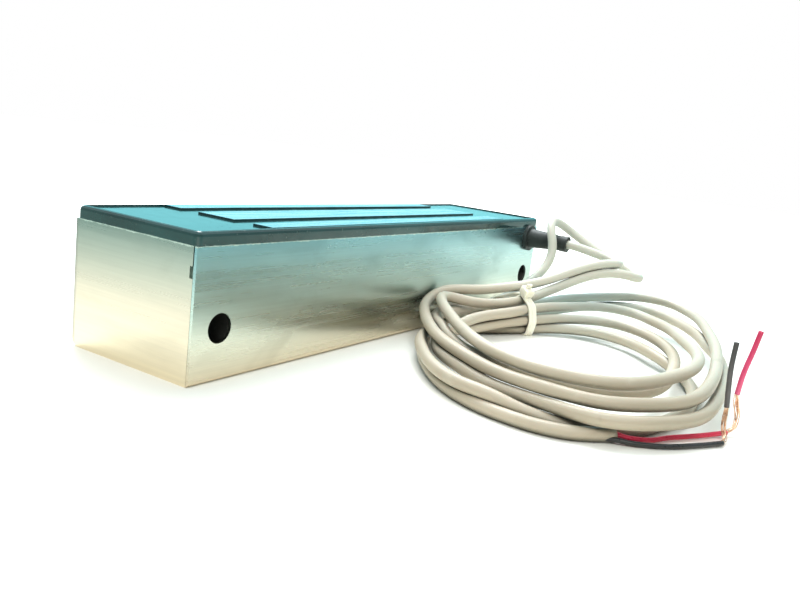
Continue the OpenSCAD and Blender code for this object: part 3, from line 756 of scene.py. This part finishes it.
def copper(name, base, dark, light):
    m = Nodes(name)
    n = m.noise(m.mapped((600, 600, 600)), 1.0, 4.0, 0.6)
    s = m.noise(m.mapped((120, 120, 120)), 1.0, 3.0, 0.6)
    col = m.ramp(n, [(0.3, dark), (0.5, base), (0.75, light)])
    col = m.mix(m.range(s, 0.55, 0.8, 0.0, 0.4, True), col, dark)
    r = m.range(n, 0.3, 0.7, 0.22, 0.40)
    m.set(Base_Color=col, Roughness=r, Metallic=1.0, Normal=m.bump(n, 0.15, 0.00005))
    return m.mat


def winding():
    """Rows of round enamelled wire, seen as ribs round the coil."""
    m = Nodes("winding")
    x, y, z = m.split()
    ribs = m.math("SINE", m.math("MULTIPLY", z, 2 * math.pi / 0.0007))
    n = m.noise(m.mapped((200, 200, 200)), 1.0, 3.0, 0.6)
    col = m.ramp(n, [(0.3, (0.38, 0.12, 0.04)), (0.55, (0.55, 0.20, 0.07)), (0.8, (0.68, 0.30, 0.12))])
    col = m.mix(m.range(ribs, -1.0, -0.4, 0.5, 0.0), col, (0.12, 0.03, 0.01))
    m.set(Base_Color=col, Roughness=m.range(n, 0.3, 0.7, 0.2, 0.38), Metallic=0.8,
          Normal=m.bump(m.math("ADD", ribs, m.math("MULTIPLY", n, 0.3)), 0.5, 0.0002))
    return m.mat


def board():
    """Woven glass under green lacquer."""
    m = Nodes("board")
    x, y, z = m.split()
    a = m.math("SINE", m.math("MULTIPLY", y, 2 * math.pi / 0.0006))
    b = m.math("SINE", m.math("MULTIPLY", z, 2 * math.pi / 0.0006))
    weave = m.math("MULTIPLY", a, b)
    n = m.noise(m.mapped((150, 150, 150)), 1.0, 3.0, 0.6)
    col = m.ramp(n, [(0.3, (0.015, 0.12, 0.05)), (0.55, (0.03, 0.18, 0.08)), (0.8, (0.05, 0.26, 0.12))])
    col = m.mix(m.range(weave, 0.2, 1.0, 0.0, 0.3), col, (0.10, 0.32, 0.16))
    m.set(Base_Color=col, Roughness=m.range(n, 0.3, 0.7, 0.28, 0.42), Normal=m.bump(weave, 0.15, 0.0001))
    return m.mat


MATS = {
    "channel": steel("housing_steel", (0.82, 0.76, 0.67), (0.50, 0.46, 0.38), "X", 0.27, stain=0.40, edge_z=0.0394,
                     reflection_ramp=[(0.0, (1.0, 0.95, 0.86)), (0.5, (0.62, 0.84, 0.91)), (1.0, (0.38, 0.73, 0.93))]),
    "end_l": steel("end_plate_steel", (0.88, 0.82, 0.70), (0.60, 0.56, 0.46), "Y", 0.30, stain=0.35, edge_z=0.0394,
                   reflection_ramp=[(0.0, (1.0, 0.97, 0.90)), (0.5, (0.80, 0.80, 0.80)), (1.0, (0.46, 0.60, 0.66))], bend_shade_y=0.026),
    "end_r": steel("end_plate_steel_right", (0.88, 0.82, 0.70), (0.60, 0.56, 0.46), "Y", 0.30, stain=0.35, edge_z=0.0394,
                   reflection_ramp=[(0.0, (1.0, 0.97, 0.90)), (0.5, (0.80, 0.80, 0.80)), (1.0, (0.46, 0.60, 0.66))], bend_shade_y=0.026),
    "resin": resin(),
    "lam": lamination(),
    "zinc": steel("zinc_steel", (0.62, 0.64, 0.62), (0.40, 0.41, 0.38), "Y", 0.42, stain=0.5),
    # painted shade: the sleeve steel is made near black so that the mounting holes read dark inside
    "sleeve_steel": steel("sleeve_steel", (0.13, 0.13, 0.125), (0.07, 0.07, 0.065), "Y", 0.45, stain=0.6),
    "pressboard": plastic("pressboard", (0.42, 0.30, 0.18), (0.30, 0.20, 0.11), (0.52, 0.40, 0.26), 0.75, 700, 0.4),
    "bobbin": plastic("bobbin_nylon", (0.80, 0.77, 0.68), (0.66, 0.62, 0.52), (0.88, 0.86, 0.78), 0.42, 800, 0.12, sss=0.1),
    "winding": winding(),
    "tape": plastic("winding_tape", (0.72, 0.52, 0.08), (0.55, 0.38, 0.05), (0.80, 0.64, 0.16), 0.28, 500, 0.15),
    "board": board(),
    "blue": plastic("varistor_epoxy", (0.04, 0.13, 0.40), (0.02, 0.08, 0.26), (0.08, 0.20, 0.50), 0.30, 600, 0.15),
    "black_epoxy": plastic("diode_epoxy", (0.025, 0.025, 0.027), (0.015, 0.015, 0.016), (0.05, 0.05, 0.052), 0.38, 900, 0.2),
    "tinned": copper("tinned_pins", (0.70, 0.64, 0.42), (0.50, 0.45, 0.28), (0.84, 0.80, 0.62)),
    "yellow": plastic("yellow_sleeving", (0.72, 0.58, 0.08), (0.55, 0.43, 0.05), (0.82, 0.70, 0.18), 0.45, 900, 0.2),
    "green": plastic("green_sleeving", (0.10, 0.36, 0.17), (0.06, 0.25, 0.11), (0.16, 0.46, 0.24), 0.45, 900, 0.2),
    "boot": plastic("boot_rubber", (0.022, 0.030, 0.030), (0.012, 0.016, 0.016), (0.055, 0.070, 0.068), 0.50, 1500, 0.35, 0.45, marks=0.4, fleck=0.25),
    "sheath": sheath(),
    "tie": plastic("tie_nylon", (0.95, 0.92, 0.80), (0.86, 0.82, 0.70), (0.98, 0.97, 0.90), 0.34, 900, 0.10, sss=0.25, marks=0.2),
    "red": plastic("red_pvc", (0.72, 0.035, 0.10), (0.50, 0.015, 0.05), (0.85, 0.10, 0.19), 0.30, 1200, 0.12, sss=0.05),
    "black": plastic("black_pvc", (0.030, 0.032, 0.036), (0.012, 0.013, 0.015), (0.09, 0.095, 0.10), 0.30, 1200, 0.12),
    "red_cut": plastic("red_pvc_offcut", (0.72, 0.075, 0.20), (0.55, 0.03, 0.10), (0.86, 0.22, 0.36), 0.34, 1200, 0.12, sss=0.08),
    "black_cut": plastic("black_pvc_offcut", (0.085, 0.080, 0.085), (0.04, 0.04, 0.042), (0.17, 0.16, 0.165), 0.36, 1200, 0.12),
    "copper": copper("bare_copper", (0.90, 0.58, 0.40), (0.60, 0.30, 0.17), (1.0, 0.78, 0.60)),
}
OF_NODE = {
    "housing_channel": "channel", "end_plate_left": "end_l", "end_plate_right": "end_r",
    "potting_resin": "resin", "lamination_stack": "lam", "core_rivets": "zinc", "core_spacers": "pressboard",
    "bobbin": "bobbin", "coil_winding": "winding", "winding_tape": "tape", "mounting_sleeves": "sleeve_steel",
    "circuit_board": "board", "surge_varistor": "blue", "clamp_diode": "black_epoxy", "terminal_pins": "tinned",
    "coil_lead_start": "yellow", "coil_lead_finish": "green", "supply_lead_red": "red",
    "supply_lead_black": "black", "strain_relief_boot": "boot", "inner_cable_tie": "tie",
    "cable_inner_end": "sheath", "cable_lead": "sheath", "cable_standing_loop": "sheath",
    "cable_coil": "sheath", "cable_tie": "tie", "conductor_red": "red", "conductor_black": "black",
    "bare_strands": "copper", "insulation_slug_red": "red", "insulation_slug_black": "black",
}
for name, ob in NODES.items():
    ob.data.materials.clear()
    ob.data.materials.append(MATS[OF_NODE[name]])
for ob, key in ((cable, "sheath"), (tie, "tie"), (red, "red"), (black, "black"), (bare_a, "copper"),
                (bare_b, "copper"), (slug_r, "red_cut"), (slug_b, "black_cut")):
    ob.data.materials.clear()
    ob.data.materials.append(MATS[key])

# ------------------------------------------------------------------ floor, light
n = 24
fx = np.linspace(-2.2, 2.2, n)
verts = [(x, y, 0.0) for y in fx for x in fx]
faces = [(j * n + i, j * n + i + 1, (j + 1) * n + i + 1, (j + 1) * n + i) for j in range(n - 1) for i in range(n - 1)]
floor = new_object("floor", verts, faces)
fm = Nodes("floor")
fn = fm.noise(fm.mapped((6, 6, 6)), 1.0, 3.0, 0.5)
pale = fm.ramp(fn, [(0.3, (0.91, 0.91, 0.885)), (0.7, (0.94, 0.935, 0.91))])
# painted shade and light, for rays other than the camera's: the sheet is darker on the two sides that the camera
# doesn't face, so the steel mirrors them; the camera sees it pale
fx_, fy_, fz_ = fm.split()


def side_of(px, py, dx, dy, near, far):
    d = fm.math("ADD", fm.math("MULTIPLY", fm.math("SUBTRACT", fx_, px), dx),
                fm.math("MULTIPLY", fm.math("SUBTRACT", fy_, py), dy))
    return fm.range(d, near, far, 0.0, 1.0, True)


left_far = side_of(-0.115, 0.0, -0.88, 0.47, 0.07, 0.24)
right_far = side_of(-0.264, -0.183, 0.08, -0.997, 0.02, 0.16)
# painted shadow: a dark patch off the right end of the body, for the steel to mirror
patch = fm.math("MULTIPLY", side_of(0.13, -0.1, 0.85, -0.52, 0.0, 0.05), side_of(0.21, -0.1, -0.85, 0.52, 0.0, 0.05))
# painted light: a warm bounce tone over the sheet
warm = fm.mix(0.55, pale, (0.88, 0.83, 0.68))
tone = fm.mix(left_far, warm, (0.30, 0.38, 0.34))
tone = fm.mix(right_far, tone, (0.20, 0.36, 0.34))
tone = fm.mix(patch, tone, (0.07, 0.16, 0.15))
seen = fm.nt.nodes.new("ShaderNodeLightPath").outputs["Is Camera Ray"]
tone = fm.mix(seen, tone, pale)
away = fm.math("POWER", fm.math("ADD", fm.math("POWER", fx_, 2.0), fm.math("POWER", fm.math("ADD", fy_, 0.06), 2.0)), 0.5)
bright = fm.math("MULTIPLY", fm.range(away, 0.19, 0.40, 0.0, 1.0, True), seen)
fm.set(Base_Color=tone, Roughness=0.55, Emission_Color=(1.0, 1.0, 1.0), Emission_Strength=bright,
       Normal=fm.bump(fm.noise(fm.mapped((700, 700, 700)), 1.0, 2.0), 0.02, 0.0001))
floor.data.materials.append(fm.mat)

world = bpy.data.worlds.new("world")
scene.world = world
world.use_nodes = True
wn = world.node_tree
wn.nodes.clear()


def wnode(kind, **k):
    nd = wn.nodes.new(kind)
    for key, value in k.items():
        nd.inputs[key.replace("_", " ")].default_value = value
    return nd


def wmath(op, a, b=None):
    nd = wn.nodes.new("ShaderNodeMath")
    nd.operation = op
    for i, x in enumerate((a, b)):
        if isinstance(x, (int, float)):
            nd.inputs[i].default_value = x
        elif x is not None:
            wn.links.new(x, nd.inputs[i])
    return nd.outputs["Value"]


def wrange(v, a, b, c, d):
    nd = wn.nodes.new("ShaderNodeMapRange")
    nd.interpolation_type = "SMOOTHSTEP"
    for key, value in (("From Min", a), ("From Max", b), ("To Min", c), ("To Max", d)):
        nd.inputs[key].default_value = value
    wn.links.new(v, nd.inputs["Value"])
    return nd.outputs["Result"]


def wmix(f, a, b):
    nd = wn.nodes.new("ShaderNodeMix")
    nd.data_type = "RGBA"
    nd.clamp_factor = True
    for sname, x in (("Factor", f), ("A", a), ("B", b)):
        sock = [i for i in nd.inputs if i.name == sname and i.type == ("VALUE" if sname == "Factor" else "RGBA")][0]
        if isinstance(x, tuple):
            sock.default_value = (*x, 1)
        else:
            wn.links.new(x, sock)
    return [o for o in nd.outputs if o.type == "RGBA"][0]


wo = wn.nodes.new("ShaderNodeOutputWorld")
bg = wn.nodes.new("ShaderNodeBackground")
wc = wn.nodes.new("ShaderNodeTexCoord")
ws = wn.nodes.new("ShaderNodeSeparateXYZ")
wn.links.new(wc.outputs["Generated"], ws.inputs["Vector"])
ahead = wmath("ADD", wmath("MULTIPLY", ws.outputs["X"], 0.852), wmath("MULTIPLY", ws.outputs["Y"], 0.523))
room = wmix(wrange(ahead, -0.7, 0.35, 0.0, 1.0), (0.34, 0.33, 0.28), (0.42, 0.56, 0.54))
glow = wmath("MULTIPLY", wrange(ahead, 0.45, 0.8, 0.0, 1.0), wrange(ws.outputs["Z"], 0.30, 0.62, 1.0, 0.0))
sky = wmix(glow, room, (0.40, 1.16, 1.26))
sky = wmix(wrange(ws.outputs["Z"], 0.35, 0.85, 0.0, 1.0), sky, (0.90, 0.98, 1.0))
wlp = wn.nodes.new("ShaderNodeLightPath")
sky = wmix(wlp.outputs["Is Camera Ray"], sky, (1.0, 1.0, 1.0))
wn.links.new(sky, bg.inputs["Color"])
bg.inputs["Strength"].default_value = 1.0
wn.links.new(bg.outputs["Background"], wo.inputs["Surface"])


def area(name, place, target, size, power, colour):
    l = bpy.data.lights.new(name, "AREA")
    l.shape = "RECTANGLE"
    l.size, l.size_y = size
    l.energy = power
    l.color = colour
    o = bpy.data.objects.new(name, l)
    coll.objects.link(o)
    o.location = place
    d = Vector(target) - Vector(place)
    o.rotation_euler = d.to_track_quat("-Z", "Y").to_euler()
    return o


area("key", (0.45, 0.42, 1.0), (0.0, -0.05, 0.0), (0.9, 0.9), 22.0, (0.94, 0.99, 1.0))
area("front", (-0.75, -0.55, 0.95), (-0.05, -0.05, 0.0), (0.7, 0.7), 7.0, (1.0, 0.96, 0.86))
